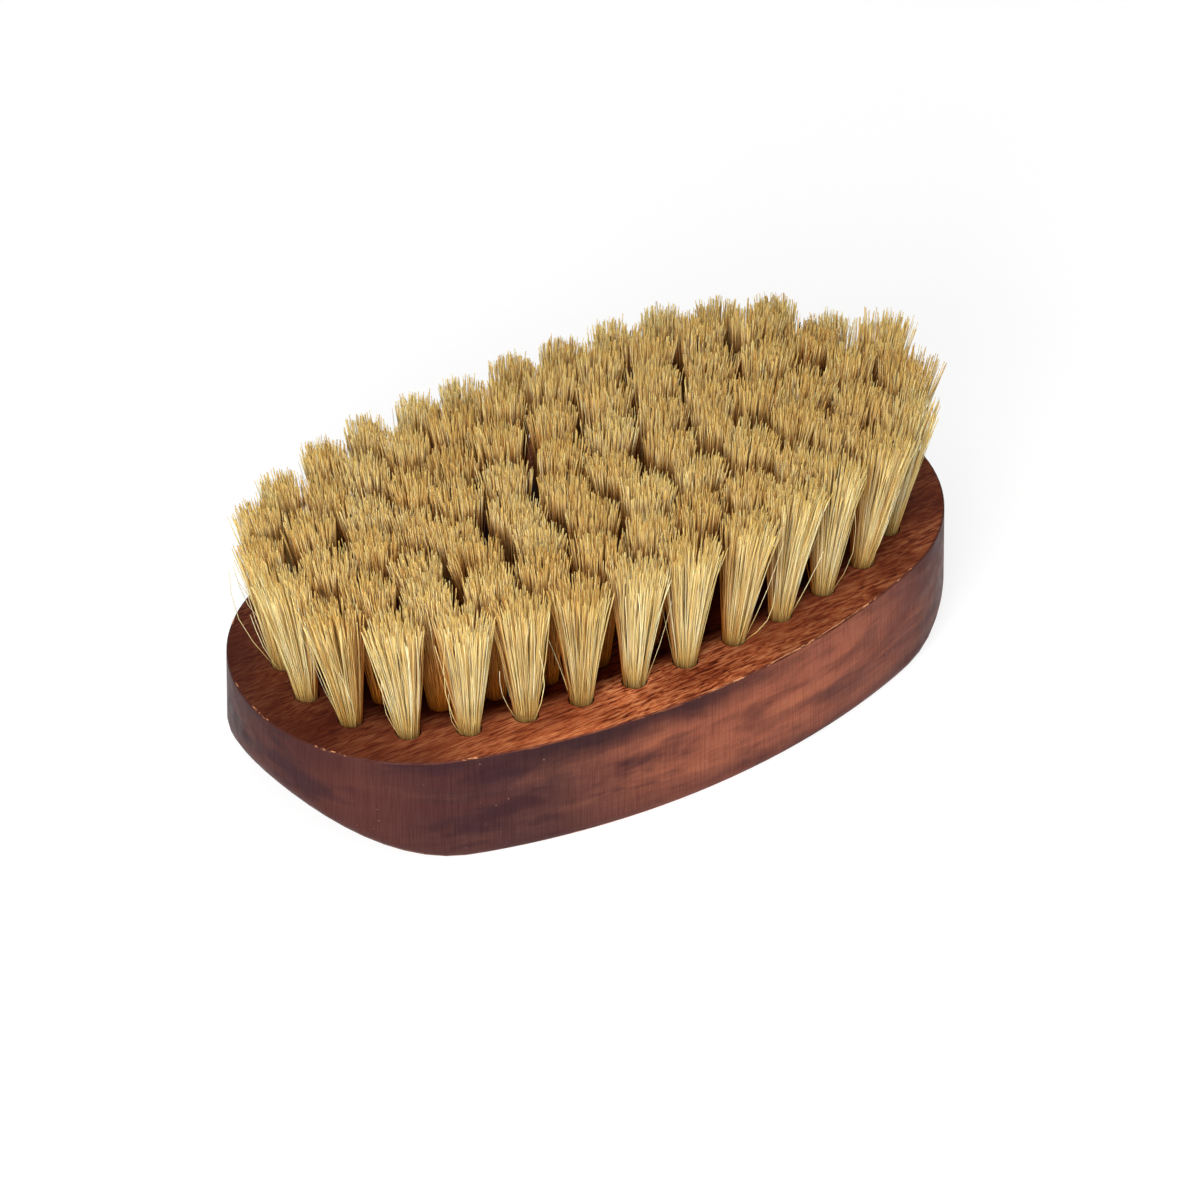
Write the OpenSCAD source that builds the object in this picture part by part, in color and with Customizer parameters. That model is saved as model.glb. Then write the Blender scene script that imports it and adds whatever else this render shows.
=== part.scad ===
// Oval palm-held beard brush.
// One solid wooden block carries four rings of bristle tufts. Each tuft is a bundle folded over
// a flat metal anchor, and the two are driven together into a blind hole of their own.
// The brush lies on its back with the bristles up: +Z up, +X along the length, and the origin
// at the centre of the back's flat. Front is -Y.

/* [Block] */
// Length of the wooden block
block_length = 115; // [110:1:126]
// Width of the wooden block
block_width = 66; // [64:1:74]
// Thickness of the block from its back to its drilled face
block_thickness = 18.3; // [16:0.1:24]
// Radius of the outline round each end
end_radius = 27.5; // [24:0.5:29]
// Length of the flat in the middle of the back
back_flat_length = 74; // [66:1:80]
// Radius of the curve that lifts the back at each end
back_rise_radius = 30; // [28:0.5:48]
// Radius of the rounded edge between the side wall and the back
back_edge_radius = 1.8; // [0.8:0.1:2.6]

/* [Tuft pattern] */
// Distance from the outline to the centres of the outer holes
edge_margin = 8.15; // [7:0.05:9]
// Half the distance between the two middle rows of holes
centre_row_offset = 3.5; // [3:0.05:4]
// Tufts in the outer ring
outer_tufts = 29; // [24:1:30]
// Tufts in the second ring
second_tufts = 25; // [19:1:25]
// Tufts in the third ring
third_tufts = 19; // [14:1:19]
// Tufts in the centre ring
centre_tufts = 14; // [10:1:14]
// Radius of a ring's ends, as a share of half the ring's width
ring_end_share = 0.85; // [0.8:0.01:0.95]
// Share of each ring's tufts that stand in its front half
front_share = 0.485; // [0.46:0.005:0.54]
// First tuft of the outer ring, in spacings round from the right-hand end
outer_turn = 0.95; // [0:0.01:0.99]
// First tuft of the second ring, in spacings
second_turn = 0.72; // [0:0.01:0.99]
// First tuft of the third ring, in spacings
third_turn = 0.67; // [0:0.01:0.99]
// First tuft of the centre ring, in spacings
centre_turn = 0.89; // [0:0.01:0.99]

/* [Holes and anchors] */
// Diameter of each hole
hole_diameter = 3.8; // [3.4:0.1:4.2]
// Depth of each hole
hole_depth = 9; // [7:0.1:11]
// Length of each anchor, which bites into the wood on both sides of the hole
anchor_length = 5; // [4.6:0.1:5.6]
// Thickness of the anchor's flat wire
anchor_thickness = 0.4; // [0.3:0.05:0.6]
// Height of the anchor's flat wire
anchor_height = 1.6; // [1.2:0.1:2.2]
// Bristle folded under the anchor at the bottom of the hole
anchor_fold = 0.9; // [0.6:0.1:1.4]
// Clearance between an anchor and its seats in wood and bristle
anchor_clearance = 0.03; // [0.02:0.01:0.08]

/* [Bristles] */
// Height of the trimmed bristles above the drilled face
bristle_height = 22.5; // [18:0.5:28]
// Strands in each tuft, one of them in the middle
tuft_strands = 5; // [4:1:5]
// Width of a strand where it leaves the packed root
strand_root_width = 0.8; // [0.6:0.05:0.9]
// Width of a strand at its cut end
strand_tip_width = 2; // [1.4:0.1:2]
// Outward lean of a tuft, as a share of its distance from the middle
tuft_lean = 0.075; // [0.04:0.005:0.1]
// Gap left between the two nearest tufts at their cut ends
tip_gap = 0.1; // [0.1:0.05:0.8]
// Most that a cut end stands above or below the trimmed height
tip_raggedness = 0.6; // [0.1:0.1:1]
// Height of the packed root above the drilled face
root_collar = 0.6; // [0.4:0.1:1.2]
// Clearance between a packed root and its hole
root_clearance = 0.05; // [0.02:0.01:0.1]

/* [Hidden] */
RINGS = ["outer", "second", "third", "centre"];
QUARTERS = ["back_right", "back_left", "front_left", "front_right"];
function tuft_node(ring, quarter) = str(RINGS[ring], "_tufts_", QUARTERS[quarter]);
function anchor_node(ring, quarter) = str(RINGS[ring], "_anchors_", QUARTERS[quarter]);

half_length = block_length / 2;
half_width = block_width / 2;
flat_end = back_flat_length / 2;
ring_gap = (half_width - edge_margin - centre_row_offset) / 3;
hole_floor = block_thickness - hole_depth;
anchor_floor = hole_floor + anchor_fold;
root_radius = hole_diameter / 2 - root_clearance;
root_top = block_thickness + root_collar;
tip_level = block_thickness + bristle_height;
ring_counts = [outer_tufts, second_tufts, third_tufts, centre_tufts];
ring_turns = [outer_turn, second_turn, third_turn, centre_turn];

all_spots = [for (ring = [0:3]) each ring_spots(ring)];
last_spot = len(all_spots) - 1;
nearest_tufts = min([for (i = [0:last_spot - 1], j = [i + 1:last_spot]) norm(all_spots[i] - all_spots[j])]);
// Cut ends of one tuft stay inside this radius, so that no strand meets a neighbour's.
tuft_tip_radius = (nearest_tufts * (1 + tuft_lean) - tip_gap) / 2;
strand_tip_reach = sqrt(pow(tuft_tip_radius, 2) - pow(strand_tip_width / 2, 2)) - strand_tip_width / 2;
strand_root_reach = strand_root_width / 2 + root_radius * 0.4;
// Each tuft is turned on from the last by the golden angle.
tuft_twist = 137.5;
// Stations round the outline for the rounded edge, and the flats that make its quarter round.
edge_stations = 96;
edge_flats = 3;
overcut = 1;
$fn = 96;

// ---- Four-centre oval: two end arcs and two side arcs that meet on common tangents ----

// Radius of the side arcs of an oval of half-length a, half-width b and end radius r
function side_radius(a, b, r) = (pow(a - r, 2) + b * b - r * r) / (2 * (b - r));

// Angle that one end arc turns through from the long axis to the side arc
function end_angle(a, b, r) = atan2(side_radius(a, b, r) - b, a - r);

function arc_length(radius, angle) = radius * angle * PI / 180;

// Length of a quarter of the oval
function quarter_length(a, b, r) =
    let (turn = end_angle(a, b, r))
    arc_length(r, turn) + arc_length(side_radius(a, b, r), 90 - turn);

// Outward direction, as an angle, at the distance s along the first quarter
function quarter_angle(a, b, r, s) =
    let (turn = end_angle(a, b, r), end = arc_length(r, turn))
    s < end ? s / r * 180 / PI : turn + (s - end) / side_radius(a, b, r) * 180 / PI;

function quarter_point(a, b, r, angle) =
    let (side = side_radius(a, b, r))
    angle < end_angle(a, b, r)
        ? [a - r + r * cos(angle), r * sin(angle)]
        : [side * cos(angle), b - side + side * sin(angle)];

// Place and outward angle at the share f of the way round, from +X through +Y
function oval_spot(a, b, r, f) =
    let (
        whole = quarter_length(a, b, r),
        quarter = floor(f * 4) % 4,
        along = (f * 4 - floor(f * 4)) * whole,
        angle = quarter_angle(a, b, r, quarter % 2 == 0 ? along : whole - along),
        p = quarter_point(a, b, r, angle),
        left = quarter == 1 || quarter == 2 ? -1 : 1,
        front = quarter > 1 ? -1 : 1
    )
    [[left * p.x, front * p.y], [left * cos(angle), front * sin(angle)]];

module oval_prism(a, b, r, height) {
    side = side_radius(a, b, r);
    turn = end_angle(a, b, r);
    join_x = a - r + r * cos(turn);
    join_y = r * sin(turn);
    intersection() {
        translate([0, b - side, 0])
            cylinder(h = height, r = side);
        translate([0, side - b, 0])
            cylinder(h = height, r = side);
        translate([-join_x, -b - overcut, 0])
            cube([2 * join_x, 2 * (b + overcut), height]);
    }
    for (left = [0, 1])
        mirror([left, 0, 0])
            intersection() {
                translate([a - r, 0, 0])
                    cylinder(h = height, r = r);
                translate([join_x, -join_y - overcut, 0])
                    cube([a, 2 * (join_y + overcut), height]);
            }
}

// ---- Block ----

// Height of the back above the surface that the brush lies on
function back_height(x) =
    let (past = max(0, abs(x) - flat_end))
    back_rise_radius - sqrt(pow(back_rise_radius, 2) - past * past);

// What stays above the back: a slab in the middle and a round nose over each lifted end
module back_profile() {
    translate([-flat_end, -half_width - overcut, 0])
        cube([back_flat_length, block_width + 2 * overcut, block_thickness]);
    for (left = [0, 1])
        mirror([left, 0, 0])
            intersection() {
                translate([flat_end, 0, back_rise_radius])
                    rotate([90, 0, 0])
                        cylinder(h = block_width + 2 * overcut, r = back_rise_radius, center = true);
                translate([flat_end, -half_width - overcut, 0])
                    cube([half_length, block_width + 2 * overcut, block_thickness]);
            }
}

// Section of the rounding cutter: how far in from the wall and up from the back each corner lies.
// Its first and last flats run on past the edge, and its outer corner lies clear of the wood.
function edge_section() =
    let (
        step = 90 / edge_flats,
        arc = [for (i = [0:edge_flats])
            back_edge_radius * [1 - sin(i * step), 1 - cos(i * step)]],
        first = arc[0] + (arc[0] - arc[1]),
        last = arc[edge_flats] + (arc[edge_flats] - arc[edge_flats - 1])
    )
    concat([first], [for (i = [1:edge_flats - 1]) arc[i]], [last], [[-overcut, -overcut]]);

// Cutter that follows the lower edge all the way round, up over the lifted ends
module edge_cutter() {
    section = edge_section();
    corners = len(section);
    points = [
        for (i = [0:edge_stations - 1])
            let (spot = oval_spot(half_length, half_width, end_radius, i / edge_stations))
            for (corner = section)
                let (p = spot[0] - spot[1] * corner.x)
                [p.x, p.y, back_height(p.x) + corner.y]
    ];
    faces = [
        for (i = [0:edge_stations - 1], j = [0:corners - 1])
            let (
                next_i = (i + 1) % edge_stations,
                next_j = (j + 1) % corners,
                p = i * corners + j,
                q = i * corners + next_j,
                s = next_i * corners + next_j,
                t = next_i * corners + j
            )
            each [[p, t, q], [t, s, q]]
    ];
    polyhedron(points, faces);
}

// Places of one ring's holes, in order round the ring from the right-hand end
function ring_spots(ring) =
    let (
        a = half_length - edge_margin - ring * ring_gap,
        b = half_width - edge_margin - ring * ring_gap,
        r = ring_end_share * b,
        count = ring_counts[ring],
        back_count = count * (1 - front_share),
        front_count = count * front_share
    )
    [for (i = [0:count - 1])
        let (
            u = i + ring_turns[ring],
            f = u < back_count ? u / back_count / 2 : 0.5 + (u - back_count) / front_count / 2
        )
        oval_spot(a, b, r, f)[0]];

// Which quarter of the brush a place lies in, as an index into QUARTERS
function quarter_of(p) = p.y >= 0 ? (p.x >= 0 ? 0 : 1) : (p.x < 0 ? 2 : 3);

module hole() {
    translate([0, 0, hole_floor])
        cylinder(h = hole_depth + overcut, d = hole_diameter);
    anchor_seat();
}

module anchor_seat() {
    length = anchor_length + 2 * anchor_clearance;
    thickness = anchor_thickness + 2 * anchor_clearance;
    translate([-length / 2, -thickness / 2, anchor_floor - anchor_clearance])
        cube([length, thickness, anchor_height + 2 * anchor_clearance]);
}

module block() {
    color("sienna")
        difference() {
            intersection() {
                oval_prism(half_length, half_width, end_radius, block_thickness);
                back_profile();
            }
            edge_cutter();
            for (ring = [0:3])
                for (p = ring_spots(ring))
                    translate([p.x, p.y, 0])
                        hole();
        }
}

// ---- Tufts and anchors ----

// A four-sided strand that widens from its root to its cut end
module strand(root, root_z, tip, tip_z, turn) {
    corners = [[-1, -1], [1, -1], [1, 1], [-1, 1]] / 2;
    points = [
        for (end = [[root, root_z, strand_root_width], [tip, tip_z, strand_tip_width]])
            for (c = corners)
                let (x = c.x * end[2], y = c.y * end[2])
                [end[0].x + x * cos(turn) - y * sin(turn), end[0].y + x * sin(turn) + y * cos(turn), end[1]]
    ];
    sides = [for (i = [0:3]) let (j = (i + 1) % 4) each [[i, i + 4, j], [i + 4, j + 4, j]]];
    polyhedron(points, concat([[0, 1, 2], [0, 2, 3]], sides, [[4, 6, 5], [4, 7, 6]]));
}

// The packed root fills its hole and is slotted for the anchor that it is folded over.
module packed_root() {
    difference() {
        translate([0, 0, hole_floor])
            cylinder(h = root_top - hole_floor, r = root_radius);
        anchor_seat();
    }
}

module tuft(p, index) {
    ragged = rands(-tip_raggedness, tip_raggedness, tuft_strands, index);
    translate([p.x, p.y, 0])
        packed_root();
    for (i = [0:tuft_strands - 1]) {
        turn = index * tuft_twist + i * 360 / (tuft_strands - 1);
        out = i == tuft_strands - 1 ? [0, 0] : [cos(turn), sin(turn)];
        strand(
            p + strand_root_reach * out, block_thickness,
            p * (1 + tuft_lean) + strand_tip_reach * out, tip_level + ragged[i],
            turn
        );
    }
}

module tufts(ring, quarter) {
    spots = ring_spots(ring);
    color("burlywood")
        for (i = [0:len(spots) - 1])
            if (quarter_of(spots[i]) == quarter)
                tuft(spots[i], 100 * ring + i);
}

module anchors(ring, quarter) {
    color("silver")
        for (p = ring_spots(ring))
            if (quarter_of(p) == quarter)
                translate([p.x - anchor_length / 2, p.y - anchor_thickness / 2, anchor_floor])
                    cube([anchor_length, anchor_thickness, anchor_height]);
}

block();
for (ring = [0:3], quarter = [0:3]) {
    tufts(ring, quarter);
    anchors(ring, quarter);
}
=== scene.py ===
"""Beard brush: the looks of its oval wooden block, its 87 bristle tufts and the wires that hold them."""

import math
from collections import namedtuple
from itertools import product

import bmesh
import bpy
import numpy as np
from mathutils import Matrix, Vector
from mathutils.noise import noise as noise_at


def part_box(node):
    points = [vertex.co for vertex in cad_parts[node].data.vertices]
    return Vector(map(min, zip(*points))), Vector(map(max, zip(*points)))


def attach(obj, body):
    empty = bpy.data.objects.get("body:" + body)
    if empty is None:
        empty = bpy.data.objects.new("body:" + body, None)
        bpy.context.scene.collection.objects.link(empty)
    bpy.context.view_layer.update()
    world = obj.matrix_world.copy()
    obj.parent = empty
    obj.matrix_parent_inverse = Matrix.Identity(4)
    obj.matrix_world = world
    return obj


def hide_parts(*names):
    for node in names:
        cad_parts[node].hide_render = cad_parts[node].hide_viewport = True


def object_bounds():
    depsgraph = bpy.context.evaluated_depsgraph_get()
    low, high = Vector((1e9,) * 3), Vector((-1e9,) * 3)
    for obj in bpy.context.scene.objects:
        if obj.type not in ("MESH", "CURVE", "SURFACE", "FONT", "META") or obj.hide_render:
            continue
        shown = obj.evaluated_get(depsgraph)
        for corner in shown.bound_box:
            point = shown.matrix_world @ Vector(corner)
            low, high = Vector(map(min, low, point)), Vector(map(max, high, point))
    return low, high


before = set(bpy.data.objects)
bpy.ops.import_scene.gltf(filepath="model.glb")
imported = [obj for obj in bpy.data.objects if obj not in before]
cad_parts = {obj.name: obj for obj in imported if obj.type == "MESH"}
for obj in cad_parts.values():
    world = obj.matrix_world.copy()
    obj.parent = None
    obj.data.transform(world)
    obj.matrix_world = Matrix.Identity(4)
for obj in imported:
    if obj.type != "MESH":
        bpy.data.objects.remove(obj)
cad_box = [list(corner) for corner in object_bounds()]

MM = 0.001
SEED = 7
# Places nearer to each other than this are one place
WELD = 0.001 * MM

RINGS = ("outer", "second", "third", "centre")
QUARTERS = ("back_right", "back_left", "front_left", "front_right")

# ---- Strands ----
STRANDS = 300
STRAND_SIDES = 4
STRAND_RADIUS = 0.08 * MM
STRAND_RADIUS_SPREAD = 0.018 * MM
# Radius of the thinnest and the thickest strand, as shares of the usual one
STRAND_LIMITS = (0.6, 1.5)
# Share of its stations up to which a strand is at its full thickness, and share of that left at the tip
TAPER_FROM = 0.4
TIP_TAPER = 0.72
# How far strands bow to the side half-way up
SIDE_BOW = 0.22 * MM
# How much a strand's spread lags behind its height near the root, where 0 is a straight line
FLARE = 0.16
# Stations of a strand above the face, as shares of its height there
LEVELS = (0, 0.25, 0.5, 0.76, 1)
# Tone from 0, dark, to 1, pale: of the usual tuft, and how far tufts and strands differ
TUFT_TONE = 0.5
TUFT_TONE_SPREAD = 0.1
STRAND_TONE_SPREAD = 0.24
# Share of the strands that are dark, and how much thicker they are
DARK_SHARE = 0.003
DARK_THICKENING = 0.5

# ---- Roots ----
ROOT_RADIUS = 1.64 * MM
# Turn from one strand to the next that packs them evenly in the round hole
GOLDEN_ANGLE = math.radians(137.508)
# Half the room that the strands leave between them for the wire
WIRE_ROOM = 0.34 * MM
# Depth below the face under which a CAD tuft's corners belong to its root
ROOT_BELOW = 1 * MM

# ---- Cut ends ----
# Radius that a cut end spreads to, and how far it may reach past the line half-way to its neighbour
FREE_TIPS = (4.5 * MM, 0.25 * MM)
BACK_TIPS = (3.3 * MM, -0.2 * MM)
INNER_TIPS = (3.8 * MM, -0.16 * MM)
# Neighbouring tufts are at most this far apart
NEIGHBOUR_REACH = 11 * MM
# How far strands stray from their even places: in length, in radians, and as a share of the cut end's radius
TIP_JITTER = 0.36 * MM
TURN_JITTER = 0.5
SHARE_JITTER = 0.22
# Strands turn by the jitter times this, less their share of the radius, which is at most the widest share
TURN_AT_MIDDLE = 1.2
WIDEST_SHARE = 1.06
# Locks that a cut end gathers into, and how far its strands are drawn to them
LOCKS = 9
LOCK_PULL = 0.17
# Spread of the strands' heights in a tuft, and the lowest and highest that they may be, in spreads
CUT_RAGGEDNESS = 0.5 * MM
CUT_LIMITS = (-3, 2.4)
# How ragged the cut is in the CAD
CAD_RAGGEDNESS = 0.6 * MM
# How far whole tufts differ in height and in lean
TUFT_HEIGHT_SPREAD = 0.3 * MM
TUFT_LEAN_SPREAD = 0.38 * MM
# How much lower a tuft's rim is, the share of its strands that are short, and the most that they lack
RIM_DROP = 0.75 * MM
SHORT_SHARE = 0.05
SHORT_BY = 3.5 * MM
# The outer tufts at the back stand upright and are cut lower, from one place along the brush to another
UPRIGHT_FROM = -42 * MM
UPRIGHT_TO = -2 * MM
UPRIGHT_LEAN = 0.05
UPRIGHT_DROP = 1.2 * MM
# Where the field of tufts has parted: middle and radius of each gap, and how far cut ends moved, in mm
PARTINGS = (((-28.2, -10.4), 4.2, 1.6), ((24.0, -3.4), 4.0, 1.3), ((-32.1, 2.3), 3.6, 1.2))
# How much a tuft's strands are shut in at its middle, where 1 is wholly, which sets their painted shade
SHUT_IN_AT_MIDDLE = 0.35

# ---- Strands that have sprung out of the outer tufts ----
STRAYS = 3
STRAY_REACH = 1.1 * MM
STRAY_THICKNESS = 0.7
STRAY_TONE = 0.8
# Spread of their directions about outwards, in radians
STRAY_TURN_SPREAD = 1.1
# Least and most of a stray's spread, in radii of a free cut end, and of its height, as a share of the tuft's
STRAY_SPREAD = (0.6, 1.1)
STRAY_HEIGHT = (0.45, 1.0)

# ---- Strands as a mesh ----
# A level direction that no strand follows, from which the corners of its tube are turned
TUBE_REFERENCE = (0.31, 0.95, 0.0)
# Margin round each strand's cell of the map that it gets for baking
MAP_MARGIN = 0.08

# ---- Wood ----
# Usual length of the arris between two places that can be nicked
ARRIS_STEP = 0.9 * MM
ARRIS_WIDTH = 0.28 * MM
ARRIS_SEGMENTS = 3
# The arris is chipped down to this far below the face
CHIP_WIDTH = 0.14 * MM
# It is nicked where noise of this pitch, in cycles a metre, is over the bar, and this deep for each 1 over it
NICK_DEPTH = 0.4 * MM
NICK_PITCH = 260
NICK_BAR = 0.15
# Most of a wall's normal that may be upright, and least of the face's
WALL_SLOPE = 0.1
FACE_SLOPE = 0.9
# An edge nearer to a root's middle than this is the rim of its hole
HOLE_REACH = 2 * ROOT_RADIUS
# Faces that meet at less than this are one flat, or one smooth surface
FLAT_BELOW = math.radians(0.2)
SMOOTH_BELOW = math.radians(36)
# Power of the outer ring's outline, where 2 is an ellipse and more is squarer
FIELD_POWER = 2.5
# Turn of the grain from the brush's length, in degrees
GRAIN_TURN = 3

# ---- Surfaces ----
# Strength and depth of the bumps
WOOD_BUMP = (0.3, 0.1 * MM)
WIRE_BUMP = (0.2, 0.02 * MM)
LOW_GLOSS = 0.07
BRISTLE_GLOSS_TINT = (1, 0.86, 0.62, 1)
BRISTLE_GLOW = 0.45
BRISTLE_GLOW_RADIUS = (1.0, 0.7, 0.35)
BRISTLE_GLOW_SCALE = 0.5 * MM

# ---- Stage ----
WHITE = (1, 1, 1, 1)
# The floor's colour as it lights the object and as the camera sees it, and the light added to it there
FLOOR_BOUNCE = (0.6, 0.6, 0.6, 1)
FLOOR_SEEN = (0.32, 0.32, 0.32, 1)
FLOOR_LIFT = 0.79
FLOOR_ROUGHNESS = 0.9
FLOOR_SIZE = 6.0
# Keeps the floor clear of the flat back that rests on it
FLOOR_GAP = 0.05 * MM
WORLD_LIGHT = 0.16
# Softboxes: azimuth and elevation in degrees, distance and width in metres, power in watts
LAMPS = {
    "key": (-50, 24, 0.65, 0.33, 4.7),
    "fill": (25, 30, 1.4, 1.0, 6.2),
    "top": (-70, 66, 0.8, 0.6, 1.4),
    "back": (150, 40, 1.6, 1.2, 1.6),
}

# ---- View ----
VIEW_ELEVATION = math.radians(37.2)
VIEW_AZIMUTH = math.radians(-35.1)
VIEW_DISTANCE = 2.9
VIEW_LENS = 600.2
# Farthest that the camera sees
VIEW_REACH = 20
# How far right of and below the middle of the drilled face the camera aims
AIM_RIGHT = 1.87 * MM
AIM_DOWN = 3.58 * MM

rng = np.random.default_rng(SEED)
face_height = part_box("block")[1].z
half_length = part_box("block")[1].x


def tuft_node(ring, quarter):
    return f"{ring}_tufts_{quarter}"


def anchor_node(ring, quarter):
    return f"{ring}_anchors_{quarter}"


# ---- Reading the frame ----

# A tuft's root and the middle of its cut end, seen from above, the cut's height, and the tuft's lowest point
Tuft = namedtuple("Tuft", ("root", "tip", "cut", "low"))


def welded(node):
    """A bmesh copy of a CAD node, with the vertices that the file splits at its edges joined again."""
    copy = bmesh.new()
    copy.from_mesh(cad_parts[node].data)
    bmesh.ops.remove_doubles(copy, verts=copy.verts, dist=WELD)
    return copy


def loose_parts(node):
    """The corners of each separate solid in a CAD node, as one array for each."""
    mesh = welded(node)
    left = set(mesh.verts)
    parts = []
    while left:
        reached = {left.pop()}
        edge = set(reached)
        while edge:
            edge = {e.other_vert(v) for v in edge for e in v.link_edges} - reached
            reached |= edge
        left -= reached
        parts.append(np.array(sorted(tuple(v.co) for v in reached)))
    mesh.free()
    return parts


def middle_of(points):
    """Middle of some points' box, seen from above."""
    return (points.min(0) + points.max(0))[:2] / 2


def stood_up(node, root, tip, low):
    """A tuft from its place in the CAD, with a lean of its own and, at the back, standing more upright."""
    upright = 0.0
    if node.startswith("outer_tufts_back"):
        upright = np.interp(root[0], (UPRIGHT_FROM, UPRIGHT_TO), (0, 1))
    tip = root + (tip - root) * (1 - (1 - UPRIGHT_LEAN) * upright)
    return Tuft(root, tip + rng.normal(0, TUFT_LEAN_SPREAD, 2), tip_level - UPRIGHT_DROP * upright, low)


def tufts_in(node):
    """The tufts of a CAD node, in the order of their roots."""
    places = []
    for points in loose_parts(node):
        packed = points[points[:, 2] < face_height - ROOT_BELOW]
        ends = points[points[:, 2] > tip_level - 2 * CAD_RAGGEDNESS]
        places.append((middle_of(packed), middle_of(ends), packed[:, 2].min()))
    places.sort(key=lambda place: tuple(place[0]))
    return [stood_up(node, *place) for place in places]


tuft_nodes = [tuft_node(ring, quarter) for ring, quarter in product(RINGS, QUARTERS)]
tip_level = min(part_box(node)[1].z for node in tuft_nodes) - CAD_RAGGEDNESS
tufts = {node: tufts_in(node) for node in tuft_nodes}
all_roots = np.array([tuft.root for node in tuft_nodes for tuft in tufts[node]])
all_tips = np.array([tuft.tip for node in tuft_nodes for tuft in tufts[node]])
outer_roots = np.array([tuft.root for node in tuft_nodes if "outer" in node for tuft in tufts[node]])
inner_tips = np.array([tuft.tip for node in tuft_nodes if "outer" not in node for tuft in tufts[node]])


# ---- Material nodes ----

def srgb(red, green, blue):
    """A colour as it is written for a screen, from 0 to 255, as linear RGBA."""
    def linear(value):
        share = value / 255
        return share / 12.92 if share <= 0.04045 else ((share + 0.055) / 1.055) ** 2.4
    return (linear(red), linear(green), linear(blue), 1)


def add(tree, kind, inputs=None, **settings):
    """A new shader node, with its settings and with its inputs set to values or to other nodes' outputs."""
    made = tree.nodes.new(kind)
    for name, value in settings.items():
        setattr(made, name, value)
    for name, value in (inputs or {}).items():
        if isinstance(value, bpy.types.NodeSocket):
            tree.links.new(value, made.inputs[name])
        else:
            made.inputs[name].default_value = value
    return made


def mixed(tree, factor, first, second, blend="MIX"):
    made = add(tree, "ShaderNodeMix", {0: factor, 6: first, 7: second}, data_type="RGBA", blend_type=blend)
    return made.outputs[2]


def maths(tree, operation, first, second=0.0, clamp=False):
    made = add(tree, "ShaderNodeMath", {0: first, 1: second}, operation=operation, use_clamp=clamp)
    return made.outputs[0]


def times(tree, first, second):
    return maths(tree, "MULTIPLY", first, second)


def ramp(tree, factor, *stops):
    """A colour ramp through stops, each a position and a colour or a grey."""
    made = add(tree, "ShaderNodeValToRGB", {"Fac": factor})
    elements = made.color_ramp.elements
    while len(elements) < len(stops):
        elements.new(0.5)
    for element, (position, colour) in zip(elements, stops):
        element.position = position
        element.color = colour if isinstance(colour, tuple) else (colour, colour, colour, 1)
    return made.outputs["Color"]


def object_place(tree):
    return add(tree, "ShaderNodeTexCoord").outputs["Object"]


def noise(tree, size, detail=3.0, roughness=0.5, distortion=0.0, shift=0.0, turn=0.0):
    """Noise with features of a size in millimetres along each axis, turned in degrees about the upright axis.

    Each shift gives a pattern of its own.
    """
    about = {"Vector": object_place(tree), "Rotation": (0, 0, math.radians(turn))}
    turned = add(tree, "ShaderNodeMapping", about).outputs[0]
    scale = tuple(1 / (length * MM) for length in size)
    stretch = {"Vector": turned, "Scale": scale, "Location": (shift, shift, shift)}
    place = add(tree, "ShaderNodeMapping", stretch).outputs[0]
    pattern = {"Vector": place, "Scale": 1.0, "Detail": detail, "Roughness": roughness}
    return add(tree, "ShaderNodeTexNoise", {**pattern, "Distortion": distortion}).outputs[0]


def attribute(tree, name):
    return add(tree, "ShaderNodeAttribute", attribute_name=name).outputs["Fac"]


def material(name):
    """A new material, its node tree and its shader."""
    made = bpy.data.materials.new(name)
    made.use_nodes = True
    return made, made.node_tree, made.node_tree.nodes["Principled BSDF"]


def bump(tree, shader, height, strength, distance):
    made = add(tree, "ShaderNodeBump", {"Height": height, "Strength": strength, "Distance": distance})
    tree.links.new(made.outputs[0], shader.inputs["Normal"])


# ---- Wood ----

def painted_shade_among_tufts(tree, place):
    """How far a place on the drilled face lies inside the outer ring of tufts, from 0 to 1, as the share of
    painted shade there.
    """
    shares = []
    for axis, reach in zip("XY", np.abs(outer_roots).max(0)):
        share = maths(tree, "ABSOLUTE", maths(tree, "DIVIDE", place.outputs[axis], reach))
        shares.append(maths(tree, "POWER", share, FIELD_POWER))
    return ramp(tree, maths(tree, "ADD", *shares), (0.72, 1.0), (0.98, 0.0))


def face_grain(tree):
    """The drilled face before it is worn: fine grain along the brush, and short dark flecks in places."""
    lines = noise(tree, (5, 0.34, 0.34), detail=3, roughness=0.6, distortion=0.7, turn=GRAIN_TURN)
    flecks = noise(tree, (2.4, 0.38, 0.38), detail=2, roughness=0.6, distortion=0.8, shift=2.1)
    flecked = ramp(tree, noise(tree, (30, 12, 12), detail=1, shift=5.2), (0.34, 0.35), (0.52, 1.0))
    return ramp(
        tree,
        mixed(tree, flecked, lines, flecks),
        (0.34, srgb(84, 33, 20)),
        (0.43, srgb(150, 72, 42)),
        (0.52, srgb(200, 112, 68)),
        (0.65, srgb(232, 158, 106)),
    )


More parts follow.
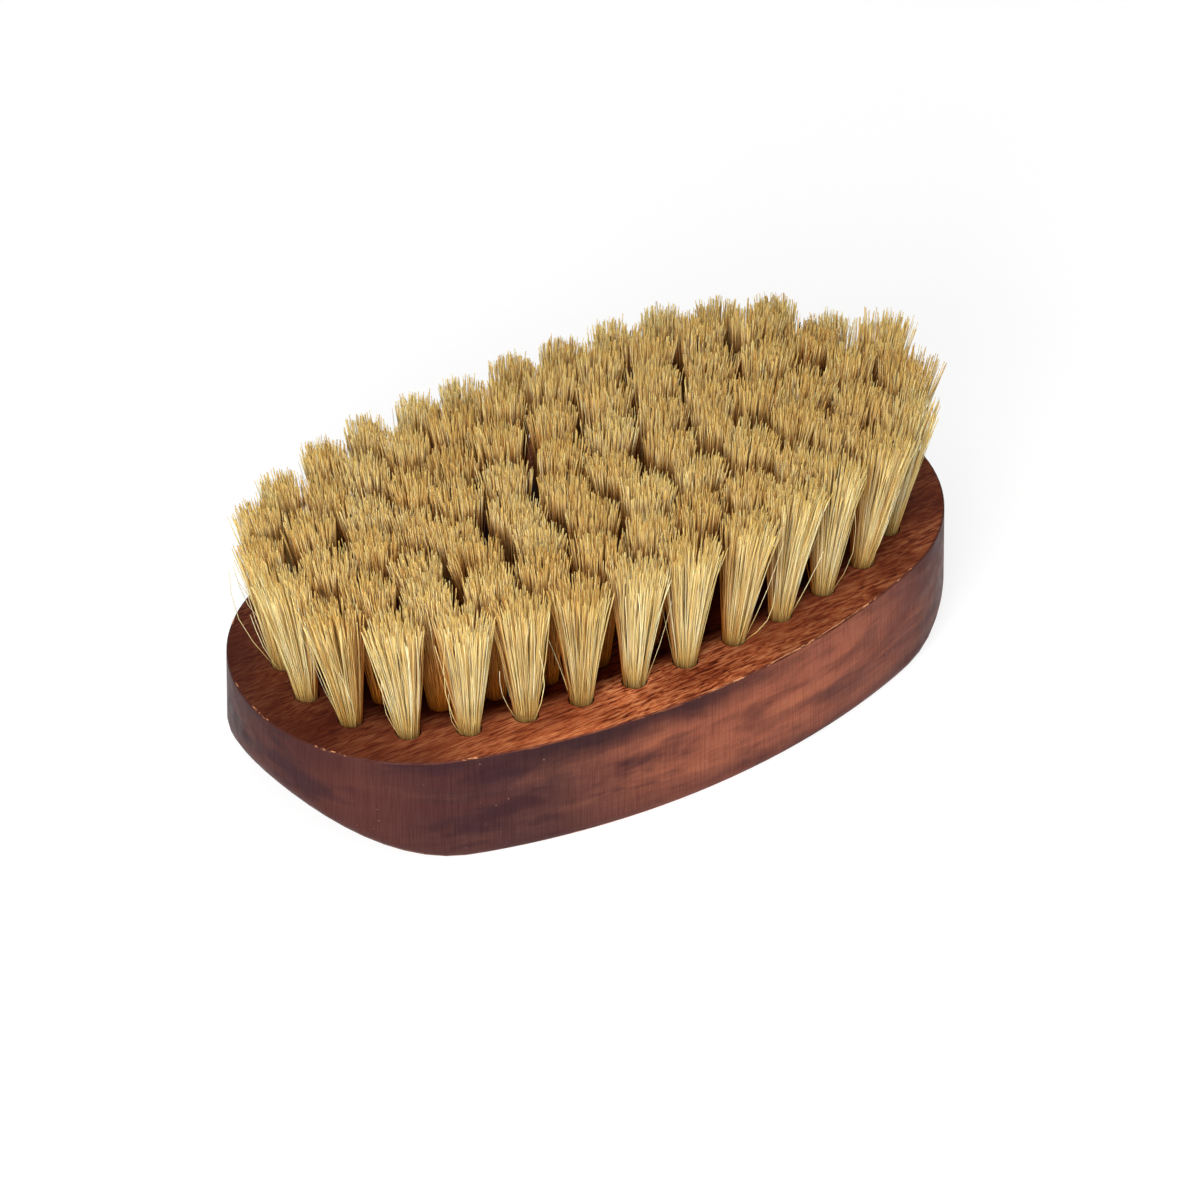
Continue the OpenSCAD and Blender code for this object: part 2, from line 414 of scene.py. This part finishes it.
def face_colour(tree, place):
    """The drilled face: its grain under blotches of stain, darker towards both ends, and with painted shade
    among the tufts.
    """
    blotches = noise(tree, (20, 10, 10), detail=3, roughness=0.55, shift=4.3)
    blotched = ramp(tree, blotches, (0.38, 0.65), (0.56, 0.0))
    colour = mixed(tree, blotched, face_grain(tree), srgb(120, 58, 40), "MULTIPLY")
    along = maths(tree, "DIVIDE", place.outputs["X"], half_length)
    right = ramp(tree, along, (0.0, 0.0), (0.25, 0.58), (0.85, 0.68))
    colour = mixed(tree, right, colour, srgb(90, 40, 26))
    left = ramp(tree, times(tree, along, -1), (0.35, 0.0), (0.75, 0.7), (0.95, 0.9))
    colour = mixed(tree, left, colour, srgb(66, 27, 20))
    # Painted shade: the face is darkened inside the ring of tufts, where they shadow it.
    return mixed(tree, painted_shade_among_tufts(tree, place), colour, srgb(96, 60, 46), "MULTIPLY")


def wall_stain(tree, across, end_grain):
    """The wall's stain: dark to the left and redder to the right, in blotches, and plain on end grain."""
    colour = ramp(
        tree,
        across,
        (0.0, srgb(110, 66, 58)),
        (0.12, srgb(64, 40, 41)),
        (0.27, srgb(84, 52, 48)),
        (0.42, srgb(136, 79, 61)),
        (0.55, srgb(160, 93, 70)),
        (0.72, srgb(168, 98, 74)),
        (0.88, srgb(104, 56, 50)),
    )
    blotches = noise(tree, (20, 20, 6), detail=4, roughness=0.55, distortion=0.6, shift=1.3)
    colour = mixed(tree, ramp(tree, blotches, (0.34, 0.7), (0.5, 0.0)), colour, srgb(78, 42, 40))
    pale = ramp(tree, blotches, (0.52, 0.0), (0.68, 0.75))
    pale = times(tree, pale, ramp(tree, across, (0.25, 0.15), (0.4, 0.7)))
    colour = mixed(tree, pale, colour, srgb(190, 116, 82))
    ends = mixed(tree, across, srgb(79, 42, 38), srgb(84, 42, 38))
    return mixed(tree, end_grain, colour, ends)


def wall_smudges(tree, across, height, colour):
    """The wall's colour under dark smudges, a dark band below the arris, and painted shade at the foot, where
    the rounded underside faces down.
    """
    smudges = noise(tree, (16, 16, 5), detail=3, roughness=0.6, shift=8.8)
    smudges = ramp(tree, smudges, (0.51, 0.0), (0.62, 1.0))
    smudges = times(tree, smudges, ramp(tree, across, (0.35, 0.85), (0.5, 0.35)))
    colour = mixed(tree, smudges, colour, srgb(58, 33, 37))
    waves = maths(tree, "SUBTRACT", noise(tree, (8, 8, 8), detail=2, shift=3.4), 0.5)
    wavy_height = maths(tree, "ADD", height, times(tree, waves, 0.3))
    where = ramp(tree, across, (0.16, 0.3), (0.26, 0.85), (0.46, 0.85), (0.6, 0.15))
    band = times(tree, ramp(tree, wavy_height, (0.72, 0.0), (0.94, 1.0)), where)
    colour = mixed(tree, band, colour, srgb(46, 28, 32))
    # Painted shade: the wall darkens towards its foot.
    return mixed(tree, ramp(tree, height, (0.1, 0.4), (0.35, 0.0)), colour, srgb(70, 42, 44))


def wall_lines(tree, colour):
    """The wall's colour under dark grain that runs round the block and fine upright lines left by sanding."""
    grain = noise(tree, (5, 5, 0.5), detail=3, roughness=0.65, distortion=0.5, shift=2.2)
    colour = mixed(tree, ramp(tree, grain, (0.38, 0.16), (0.54, 0.0)), colour, srgb(70, 34, 32))
    sanding = noise(tree, (0.18, 0.18, 6), detail=2, roughness=0.6, shift=7.7)
    sanded = ramp(tree, sanding, (0.32, 0.58), (0.6, 0.0))
    return mixed(tree, sanded, colour, srgb(200, 176, 172), "MULTIPLY")


def worn_arris(tree, place, across, colour):
    """The wood's colour with its arris darkened and, along its upper edge, chipped down to pale wood."""
    wear = attribute(tree, "wear")
    colour = mixed(tree, times(tree, wear, 0.7), colour, srgb(72, 40, 36))
    chips = noise(tree, (4.5, 4.5, 0.8), detail=4, roughness=0.7, shift=9.1)
    more = ramp(tree, across, (0.3, 0.0), (0.45, 0.03), (0.58, 0.12), (0.72, 0.12), (0.85, 0.02))
    chips = ramp(tree, maths(tree, "ADD", chips, more), (0.6, 0.0), (0.65, 0.85))
    upper = maths(tree, "GREATER_THAN", place.outputs["Z"], face_height - CHIP_WIDTH)
    chips = times(tree, chips, upper)
    return mixed(tree, times(tree, wear, chips), colour, srgb(214, 150, 106))


def specked(tree, colour):
    """The wood's colour with tiny pale specks."""
    specks = noise(tree, (0.5, 0.5, 0.5), detail=0, shift=12.3)
    return mixed(tree, ramp(tree, specks, (0.875, 0.0), (0.9, 0.32)), colour, srgb(206, 164, 136))


def wood_surface(tree, shader, flat):
    """Dull sheen, and grain that can be felt: along the brush on its face, upright on its wall."""
    sheen = noise(tree, (6, 2, 2), detail=3, shift=6.6)
    tree.links.new(ramp(tree, sheen, (0.3, 0.4), (0.7, 0.54)), shader.inputs["Roughness"])
    shader.inputs["Specular IOR Level"].default_value = LOW_GLOSS
    upright = noise(tree, (0.3, 0.3, 12), detail=3, roughness=0.6, shift=7.7)
    grain = noise(tree, (6, 0.3, 0.3), detail=3, roughness=0.6, turn=GRAIN_TURN)
    bump(tree, shader, mixed(tree, flat, upright, grain), *WOOD_BUMP)


def wood_material():
    made, tree, shader = material("stained_wood")
    place = add(tree, "ShaderNodeSeparateXYZ", {0: object_place(tree)})
    across = add(tree, "ShaderNodeMapRange", {"Value": place.outputs["X"], 1: -half_length, 2: half_length})
    across = across.outputs[0]
    height = maths(tree, "DIVIDE", place.outputs["Z"], face_height)
    normal = add(tree, "ShaderNodeNewGeometry").outputs["True Normal"]
    facing = add(tree, "ShaderNodeSeparateXYZ", {0: normal})
    flat = ramp(tree, maths(tree, "ABSOLUTE", facing.outputs["Z"]), (0.35, 0.0), (0.75, 1.0))
    end_grain = ramp(tree, maths(tree, "ABSOLUTE", facing.outputs["X"]), (0.3, 0.0), (0.9, 0.8))
    wall = wall_lines(tree, wall_smudges(tree, across, height, wall_stain(tree, across, end_grain)))
    colour = mixed(tree, flat, wall, face_colour(tree, place))
    colour = specked(tree, worn_arris(tree, place, across, colour))
    tree.links.new(colour, shader.inputs["Base Color"])
    wood_surface(tree, shader, flat)
    return made


# ---- Bristle, wire and floor ----

def bristle_colour(tree, mottle):
    """Each strand's own tone, mottled, with painted shade: darker and duller at the root, and browner the
    deeper it lies among the tufts.
    """
    tone = ramp(
        tree,
        attribute(tree, "tone"),
        (0.0, srgb(192, 150, 86)),
        (0.3, srgb(234, 200, 132)),
        (0.7, srgb(253, 230, 168)),
        (1.0, srgb(255, 245, 198)),
    )
    along = attribute(tree, "along")
    # Painted shade: strands darken towards the root at the hole; the cut end is a little darker too.
    root_shade_tip_darkening = ramp(
        tree,
        along,
        (0.0, srgb(128, 110, 84)),
        (0.1, srgb(212, 196, 166)),
        (0.35, srgb(255, 255, 255)),
        (0.92, srgb(252, 248, 236)),
        (1.0, srgb(232, 212, 172)),
    )
    colour = mixed(tree, 1.0, tone, root_shade_tip_darkening, "MULTIPLY")
    colour = mixed(tree, ramp(tree, mottle, (0.4, 0.25), (0.65, 0.0)), colour, srgb(176, 132, 74))
    # Painted shade: lower parts of strands, most of all those shut in by other tufts, are multiplied browner.
    painted_depth_shade = ramp(tree, along, (0.0, 1.0), (0.5, 0.92), (0.8, 0.66), (0.92, 0.26), (1.0, 0.0))
    painted_depth_shade = times(tree, attribute(tree, "painted_shade_cover"), painted_depth_shade)
    colour = mixed(tree, painted_depth_shade, colour, srgb(190, 128, 70), "MULTIPLY")
    return mixed(tree, attribute(tree, "dark"), colour, srgb(40, 30, 22))


def bristle_material():
    made, tree, shader = material("boar_bristle")
    mottle = noise(tree, (0.9, 0.9, 4), detail=2)
    tree.links.new(bristle_colour(tree, mottle), shader.inputs["Base Color"])
    tree.links.new(ramp(tree, mottle, (0.3, 0.42), (0.7, 0.6)), shader.inputs["Roughness"])
    shader.inputs["Specular IOR Level"].default_value = LOW_GLOSS
    shader.inputs["Specular Tint"].default_value = BRISTLE_GLOSS_TINT
    shader.inputs["Subsurface Weight"].default_value = BRISTLE_GLOW
    shader.inputs["Subsurface Radius"].default_value = BRISTLE_GLOW_RADIUS
    shader.inputs["Subsurface Scale"].default_value = BRISTLE_GLOW_SCALE
    return made


def wire_material():
    made, tree, shader = material("galvanised_wire")
    spangle = noise(tree, (0.6, 0.2, 0.6), detail=3)
    colour = ramp(tree, spangle, (0.3, srgb(140, 140, 136)), (0.7, srgb(196, 196, 190)))
    tree.links.new(colour, shader.inputs["Base Color"])
    tree.links.new(ramp(tree, spangle, (0.3, 0.3), (0.7, 0.55)), shader.inputs["Roughness"])
    shader.inputs["Metallic"].default_value = 1.0
    bump(tree, shader, spangle, *WIRE_BUMP)
    return made


def floor_material():
    """Pale paper, lifted to white where the camera or a reflection sees it, so that only the shadow shows."""
    made, tree, shader = material("pale_floor")
    path = add(tree, "ShaderNodeLightPath")
    seen = maths(tree, "ADD", path.outputs["Is Camera Ray"], path.outputs["Is Glossy Ray"], clamp=True)
    seen = maths(tree, "ADD", seen, path.outputs["Is Transmission Ray"], clamp=True)
    tree.links.new(mixed(tree, seen, FLOOR_BOUNCE, FLOOR_SEEN), shader.inputs["Base Color"])
    shader.inputs["Roughness"].default_value = FLOOR_ROUGHNESS
    shader.inputs["Specular IOR Level"].default_value = 0.0
    shader.inputs["Emission Color"].default_value = WHITE
    tree.links.new(times(tree, seen, FLOOR_LIFT), shader.inputs["Emission Strength"])
    return made


# ---- Where strands go ----

def unit_vectors(turns):
    """Directions in the level plane, one for each turn."""
    return np.stack([np.cos(turns), np.sin(turns)], -1)


def tip_room(ring, quarter):
    """Radius of a tuft's cut end, and how far it may reach past the line half-way to its neighbours."""
    if ring != "outer":
        return INNER_TIPS
    return FREE_TIPS if quarter.startswith("front") else BACK_TIPS


def squeezed(points, own, overlap):
    """Cut ends of one tuft, pushed back where they reach past the line half-way to a neighbouring tuft."""
    for other in all_tips:
        gap = np.linalg.norm(other - own)
        if not WELD < gap < NEIGHBOUR_REACH:
            continue
        towards = (other - own) / gap
        past = (points - (own + other) / 2) @ towards - overlap
        points = points - np.maximum(past, 0)[:, None] * towards
    return points


def parted(points):
    """Cut ends moved away from the gaps where the field of tufts has parted."""
    for middle, radius, move in PARTINGS:
        away = points - np.array(middle) * MM
        distance = np.maximum(np.linalg.norm(away, axis=1, keepdims=True), WELD)
        points = points + away / distance * move * MM * np.clip(1 - distance / (radius * MM), 0, 1)
    return points


def scattered_ends(tip, share, turn, room):
    """Where one tuft's strands end, seen from above."""
    count = len(turn)
    radius, overlap = room
    turn = turn + rng.normal(0, TURN_JITTER, count) * (TURN_AT_MIDDLE - share)
    share = np.clip(share + rng.normal(0, SHARE_JITTER, count), 0, WIDEST_SHARE)
    spread = tip + radius * share[:, None] * unit_vectors(turn)
    locks = tip + radius * np.sqrt(rng.random((LOCKS, 1))) * unit_vectors(rng.uniform(0, math.tau, LOCKS))
    nearest = np.argmin(np.linalg.norm(spread[:, None] - locks, axis=2), axis=1)
    spread = spread + LOCK_PULL * (locks[nearest] - spread)
    spread = squeezed(spread, tip, overlap) + rng.normal(0, TIP_JITTER, (count, 2))
    return parted(spread)


def cut_heights(share, cut):
    """How high one tuft's strands end: level, a little ragged, lower at the rim, and a few short ones."""
    count = len(share)
    lowest, highest = CUT_LIMITS
    top = cut + rng.normal(0, TUFT_HEIGHT_SPREAD) - RIM_DROP * share**3
    ragged = rng.normal(0, CUT_RAGGEDNESS, count)
    top = top + np.clip(ragged, lowest * CUT_RAGGEDNESS, highest * CUT_RAGGEDNESS)
    short = rng.random(count) < SHORT_SHARE
    return top - short * rng.uniform(0, SHORT_BY, count)


def rooted_paths(tuft, packed, spread, top, bow):
    """Centrelines from the wire up through the hole to the cut end: strands by stations by places."""
    side = np.where(packed[:, 1] < tuft.root[1], -1, 1)
    clear = packed.copy()
    clear[:, 1] = tuft.root[1] + side * np.maximum(np.abs(packed[:, 1] - tuft.root[1]), WIRE_ROOM)
    stations = [np.column_stack([clear, np.full(len(packed), tuft.low)])]
    for level in LEVELS:
        out = level * (1 - FLARE + FLARE * level)
        place = packed + (spread - packed) * out + bow * math.sin(math.pi * level)
        stations.append(np.column_stack([place, face_height + (top - face_height) * level]))
    return np.stack(stations, 1)


def tuft_paths(tuft, room):
    """Centrelines of one tuft's strands, packed evenly in the hole and spread at the cut end."""
    order = np.arange(STRANDS)
    share = np.sqrt((order + 0.5) / STRANDS)
    turn = order * GOLDEN_ANGLE + rng.uniform(0, math.tau)
    packed = tuft.root + ROOT_RADIUS * share[:, None] * unit_vectors(turn)
    spread = scattered_ends(tuft.tip, share, turn, room)
    top = cut_heights(share, tuft.cut)
    bow = rng.normal(0, SIDE_BOW, (STRANDS, 2))
    return rooted_paths(tuft, packed, spread, top, bow)


def stray_paths(tuft):
    """A few strands that bow out of an outer tuft on the side away from the middle of the brush."""
    outward = math.atan2(tuft.root[1], tuft.root[0])
    around = unit_vectors(outward + rng.normal(0, STRAY_TURN_SPREAD, STRAYS))
    packed = tuft.root + ROOT_RADIUS * around
    spread = tuft.tip + FREE_TIPS[0] * rng.uniform(*STRAY_SPREAD, (STRAYS, 1)) * around
    top = face_height + (tuft.cut - face_height) * rng.uniform(*STRAY_HEIGHT, STRAYS)
    bow = rng.normal(0, SIDE_BOW, (STRAYS, 2))
    bow = bow + around * np.abs(rng.normal(0, STRAY_REACH, (STRAYS, 1)))
    return rooted_paths(tuft, packed, spread, top, bow)


# ---- Strands as a mesh ----

def tubes(paths, radii):
    """Corner places of tubes that follow paths: strands by stations by sides by places."""
    along = np.gradient(paths, axis=1)
    along /= np.linalg.norm(along, axis=2, keepdims=True)
    first = np.cross(along, TUBE_REFERENCE)
    first /= np.linalg.norm(first, axis=2, keepdims=True)
    second = np.cross(along, first)
    turns = np.arange(STRAND_SIDES) * math.tau / STRAND_SIDES
    ring = np.cos(turns)[:, None] * first[:, :, None] + np.sin(turns)[:, None] * second[:, :, None]
    return paths[:, :, None] + radii[:, :, None, None] * ring


def strand_faces(count, stations):
    """Faces of closed four-sided tubes, as rows of corner numbers: the side quads, then the two ends."""
    ring = np.arange(STRAND_SIDES)
    after = np.roll(ring, -1)
    step = STRAND_SIDES * np.arange(stations - 1)[:, None]
    sides = [step + ring, step + after, step + STRAND_SIDES + after, step + STRAND_SIDES + ring]
    quads = np.stack(sides, -1).reshape(-1, STRAND_SIDES)
    ends = np.stack([ring[::-1], ring + STRAND_SIDES * (stations - 1)])
    start = (np.arange(count) * stations * STRAND_SIDES)[:, None, None]
    return np.concatenate([start + quads, start + ends], 1).reshape(-1, STRAND_SIDES)


def strand_map(count, stations):
    """Place of every face corner on a map that gives each strand a cell of its own."""
    columns = math.ceil(math.sqrt(count))
    rows = stations - 1
    quads = np.stack(np.meshgrid(np.arange(rows), np.arange(STRAND_SIDES), indexing="ij"), -1)
    low_left = quads.reshape(-1, 1, 2)[..., ::-1]
    corner = np.array([[0, 0], [1, 0], [1, 1], [0, 1]])
    sides = (low_left + corner) / [STRAND_SIDES, rows]
    low_end = corner / [STRAND_SIDES, rows]
    high_end = low_end + [0, 1 - 1 / rows]
    cell = np.concatenate([sides, [low_end, high_end]]) * (1 - 2 * MAP_MARGIN) + MAP_MARGIN
    index = np.arange(count)
    origin = np.stack([index % columns, index // columns], 1)[:, None, None]
    return ((origin + cell) / columns).reshape(-1, 2)


def strand_mesh(name, paths, radii, strand_values):
    """One mesh of closed tubes, with each strand's values and its way along kept on its corners."""
    count, stations = paths.shape[:2]
    faces = strand_faces(count, stations)
    mesh = bpy.data.meshes.new(name)
    mesh.from_pydata(tubes(paths, radii).reshape(-1, 3), [], faces.tolist())
    places = strand_map(count, stations).astype(np.float32)
    mesh.uv_layers.new(name="OFBake").uv.foreach_set("vector", places.ravel())
    values = {key: np.repeat(value, stations * STRAND_SIDES) for key, value in strand_values.items()}
    way = np.clip((paths[:, :, 2] - face_height) / (tip_level - face_height), 0, 1)
    values["along"] = np.repeat(way.ravel(), STRAND_SIDES)
    for key, value in values.items():
        mesh.attributes.new(key, "FLOAT", "POINT").data.foreach_set("value", value.astype(np.float32))
    smooth = np.ones((count, len(faces) // count), bool)
    smooth[:, -2:] = False
    mesh.polygons.foreach_set("use_smooth", smooth.ravel())
    return mesh


# ---- Pieces ----

def placed(name, data):
    """A new object in the scene."""
    made = bpy.data.objects.new(name, data)
    bpy.context.scene.collection.objects.link(made)
    return made


def dressed(mesh, look, node):
    """Adds a mesh as the piece that stands for a CAD node."""
    mesh.materials.append(look)
    piece = placed(mesh.name, mesh)
    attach(piece, "root")
    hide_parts(node)


def outward_from(tip):
    """The level direction from the nearest tuft of the inner rings to an outer tuft."""
    away = tip - inner_tips
    away = away[np.argmin(np.linalg.norm(away, axis=1))]
    return away / np.linalg.norm(away)


def painted_shade_cover(ring, paths, tip):
    """How far each strand of a tuft is shut in by other tufts, from 0 to 1, which sets how much painted shade
    it gets.
    """
    if ring != "outer":
        return np.ones(len(paths))
    side = (paths[:, -1, :2] - tip) @ outward_from(tip) / FREE_TIPS[0]
    return np.clip(SHUT_IN_AT_MIDDLE - side, 0, 1)


def strand_radii(count, stray_count):
    """Full radius of each strand, with the strays last."""
    least, most = STRAND_LIMITS
    radius = STRAND_RADIUS + rng.normal(0, STRAND_RADIUS_SPREAD, count)
    radius = np.clip(radius, least * STRAND_RADIUS, most * STRAND_RADIUS)
    radius[count - stray_count:] *= STRAY_THICKNESS
    return radius


def bristle_piece(ring, quarter, look):
    """All the tufts of one ring in one quarter of the brush, with their strays last."""
    node = tuft_node(ring, quarter)
    own = tufts[node]
    tuft_strands = [tuft_paths(tuft, tip_room(ring, quarter)) for tuft in own]
    tone = np.repeat(rng.normal(TUFT_TONE, TUFT_TONE_SPREAD, len(own)), STRANDS)
    strays = [stray_paths(tuft) for tuft in own] if ring == "outer" else []
    paths = np.concatenate(tuft_strands + strays)
    count, stations = paths.shape[:2]
    stray_count = count - len(tone)
    radius = strand_radii(count, stray_count)
    tone = np.concatenate([tone, np.full(stray_count, STRAY_TONE)])
    tone = np.clip(tone + rng.normal(0, STRAND_TONE_SPREAD, count), 0, 1)
    dark = (rng.random(count) < DARK_SHARE).astype(float)
    radius *= 1 + DARK_THICKENING * dark
    taper = np.interp(np.linspace(0, 1, stations), (0, TAPER_FROM, 1), (1, 1, TIP_TAPER))
    # Share of painted shade for each strand; strays get none.
    strand_shade = [painted_shade_cover(ring, strands, tuft.tip) for strands, tuft in zip(tuft_strands, own)]
    strand_shade = np.concatenate(strand_shade + [np.zeros(stray_count)])
    values = {"tone": tone, "dark": dark, "painted_shade_cover": strand_shade}
    mesh = strand_mesh(node + "_bristles", paths, radius[:, None] * taper, values)
    dressed(mesh, look, node)


def add_bristles(look):
    for ring, quarter in product(RINGS, QUARTERS):
        bristle_piece(ring, quarter, look)


def dress_anchors(look):
    """The wires keep their CAD shape and get their finish."""
    for ring, quarter in product(RINGS, QUARTERS):
        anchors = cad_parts[anchor_node(ring, quarter)]
        anchors.data.materials.clear()
        anchors.data.materials.append(look)


def rim_distance(place):
    """Distance from a place to the middle of the nearest tuft's root."""
    return min(math.hypot(place.x - x, place.y - y) for x, y in all_roots)


def is_arris(edge):
    """Whether an edge runs between the drilled face and the side wall."""
    if len(edge.link_faces) != 2 or min(v.co.z for v in edge.verts) < face_height - WELD:
        return False
    wall, face = sorted(edge.link_faces, key=lambda f: abs(f.normal.z))
    if abs(wall.normal.z) >= WALL_SLOPE or abs(face.normal.z) <= FACE_SLOPE:
        return False
    middle = (edge.verts[0].co + edge.verts[1].co) / 2
    outward = wall.normal.x * middle.x + wall.normal.y * middle.y > 0
    return outward and rim_distance(middle) > HOLE_REACH


def split_arris(shape):
    """Joins facets that lie in one plane, and cuts the arris into short steps that can be nicked."""
    flats = [e for e in shape.edges if len(e.link_faces) == 2 and e.calc_face_angle() < FLAT_BELOW]
    bmesh.ops.dissolve_edges(shape, edges=flats, use_verts=False)
    for edge in [e for e in shape.edges if is_arris(e)]:
        cuts = int(edge.calc_length() / ARRIS_STEP)
        if cuts:
            bmesh.ops.subdivide_edges(shape, edges=[edge], cuts=cuts)


def ease_arris(shape, wear):
    """Rounds the arris, marks its faces as worn, and nicks it."""
    made = bmesh.ops.bevel(
        shape,
        geom=[e for e in shape.edges if is_arris(e)],
        offset=ARRIS_WIDTH,
        segments=ARRIS_SEGMENTS,
        profile=0.5,
        affect="EDGES",
        clamp_overlap=True,
    )
    eased = set(made["faces"])
    for face in eased:
        face[wear] = 1.0
    for vert in made["verts"]:
        if eased.issuperset(vert.link_faces):
            nick = noise_at(vert.co * NICK_PITCH) - NICK_BAR
            outward = Vector((vert.co.x, vert.co.y, 0)).normalized() + Vector((0, 0, 1))
            vert.co -= outward * NICK_DEPTH * max(nick, 0)


def shade(shape, wear):
    """Smooth shading, but sharp where faces meet at a corner and where the worn arris starts."""
    for face in shape.faces:
        face.smooth = True
    for edge in shape.edges:
        worn = {face[wear] for face in edge.link_faces}
        edge.smooth = len(worn) == 1 and edge.calc_face_angle(math.pi) < SMOOTH_BELOW


def block_piece(look):
    """The block with its upper arris eased, nicked and worn."""
    shape = welded("block")
    split_arris(shape)
    wear = shape.faces.layers.float.new("wear")
    ease_arris(shape, wear)
    bmesh.ops.triangulate(shape, faces=shape.faces, ngon_method="BEAUTY")
    shade(shape, wear)
    mesh = bpy.data.meshes.new("wooden_block")
    shape.to_mesh(mesh)
    shape.free()
    dressed(mesh, look, "block")


# ---- Stage ----

def direction(azimuth, elevation):
    """From the object towards a place seen at these angles, azimuth 0 being the front."""
    flat = math.cos(elevation)
    return Vector((math.sin(azimuth) * flat, -math.cos(azimuth) * flat, math.sin(elevation)))


def add_camera():
    back = direction(VIEW_AZIMUTH, VIEW_ELEVATION)
    right = Vector((math.cos(VIEW_AZIMUTH), math.sin(VIEW_AZIMUTH), 0))
    up = back.cross(right)
    aim = Vector((0, 0, face_height)) + right * AIM_RIGHT - up * AIM_DOWN
    data = bpy.data.cameras.new("camera")
    data.lens = VIEW_LENS
    data.clip_end = VIEW_REACH
    camera = placed("camera", data)
    camera.location = aim + back * VIEW_DISTANCE
    camera.rotation_euler = back.to_track_quat("Z", "Y").to_euler()
    bpy.context.scene.camera = camera


def add_softbox(name, azimuth, elevation, distance, size, power):
    data = bpy.data.lights.new(name, "AREA")
    data.size = size
    data.energy = power
    lamp = placed(name, data)
    towards = direction(math.radians(azimuth), math.radians(elevation))
    lamp.location = Vector((0, 0, face_height)) + towards * distance
    lamp.rotation_euler = towards.to_track_quat("Z", "Y").to_euler()


def add_world():
    """Even pale light, which the camera sees as white, also through clear things."""
    world = bpy.data.worlds.new("studio")
    world.use_nodes = True
    tree = world.node_tree
    path = add(tree, "ShaderNodeLightPath")
    seen = maths(tree, "ADD", path.outputs["Is Camera Ray"], path.outputs["Is Transmission Ray"], clamp=True)
    strength = maths(tree, "ADD", WORLD_LIGHT, times(tree, seen, 1 - WORLD_LIGHT))
    background = tree.nodes["Background"]
    background.inputs["Color"].default_value = WHITE
    tree.links.new(strength, background.inputs["Strength"])
    bpy.context.scene.world = world


def add_floor(look):
    half = FLOOR_SIZE / 2
    low = cad_box[0][2] - FLOOR_GAP
    corners = [(-half, -half, low), (half, -half, low), (half, half, low), (-half, half, low)]
    mesh = bpy.data.meshes.new("floor")
    mesh.from_pydata(corners, [], [(0, 1, 2, 3)])
    mesh.materials.append(look)
    placed("floor", mesh)


add_bristles(bristle_material())
block_piece(wood_material())
dress_anchors(wire_material())

add_floor(floor_material())
add_camera()
for lamp_name, lamp_settings in LAMPS.items():
    add_softbox(lamp_name, *lamp_settings)
add_world()

bpy.context.scene.view_settings.view_transform = "Standard"
